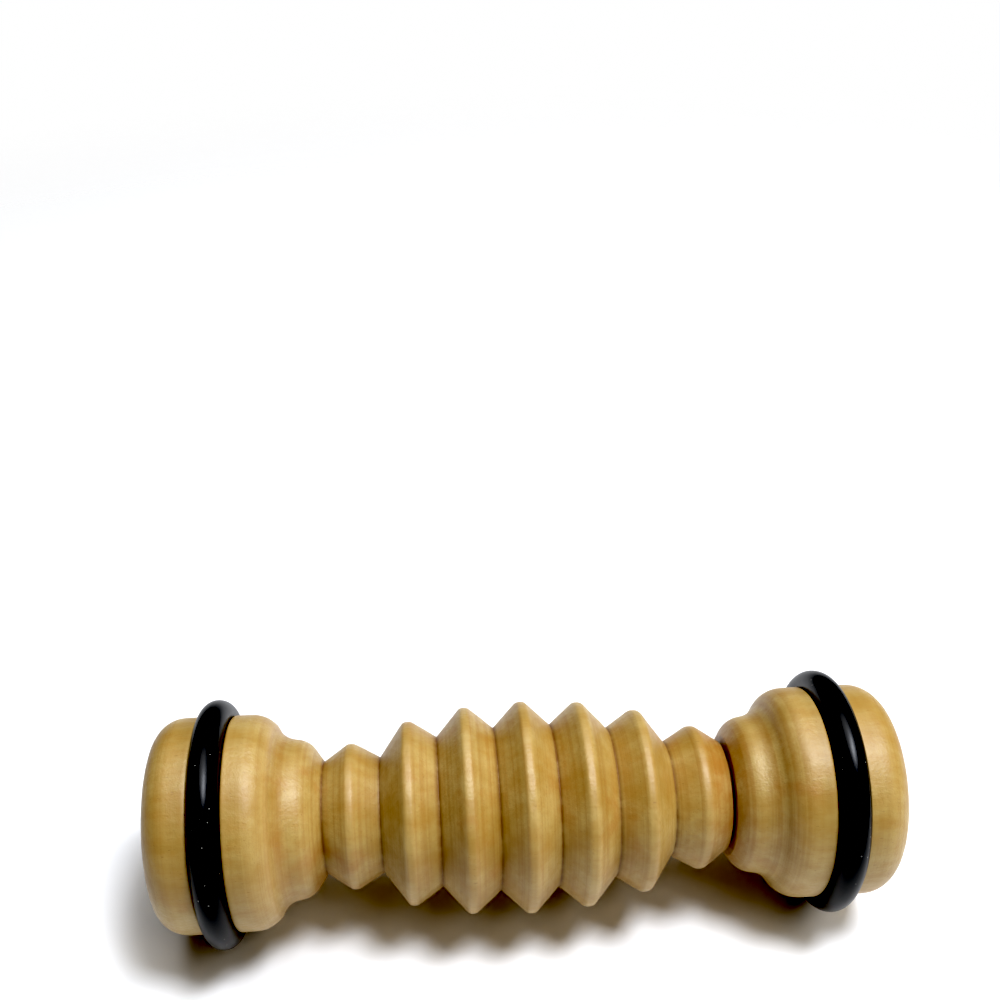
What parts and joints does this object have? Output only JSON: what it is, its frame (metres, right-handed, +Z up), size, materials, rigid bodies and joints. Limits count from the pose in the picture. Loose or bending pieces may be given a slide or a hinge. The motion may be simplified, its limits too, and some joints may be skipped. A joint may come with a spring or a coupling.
{
  "type": "foot massage roller",
  "caption": "Turned wooden foot roller: V-cut ridges swelling to the middle between two rounded knobs, each with a black rubber ring in a groove.",
  "frame": {"origin": "on the surface that the roller lies on, under its middle, halfway between the two rubber rings", "axes": "+X along the roller's axis, towards the knob beside the narrow parting cut; +Z up; +Y level, away from the person using it"},
  "size_m": [0.17, 0.0578, 0.0577],
  "materials": {
    "wood": "pale turned wood, satin varnish",
    "rubber": "smooth moulded black rubber"
  },
  "bodies": {
    "root": {"wooden_body": "wood", "left_ring": "rubber", "right_ring": "rubber"}
  },
  "joints": []
}
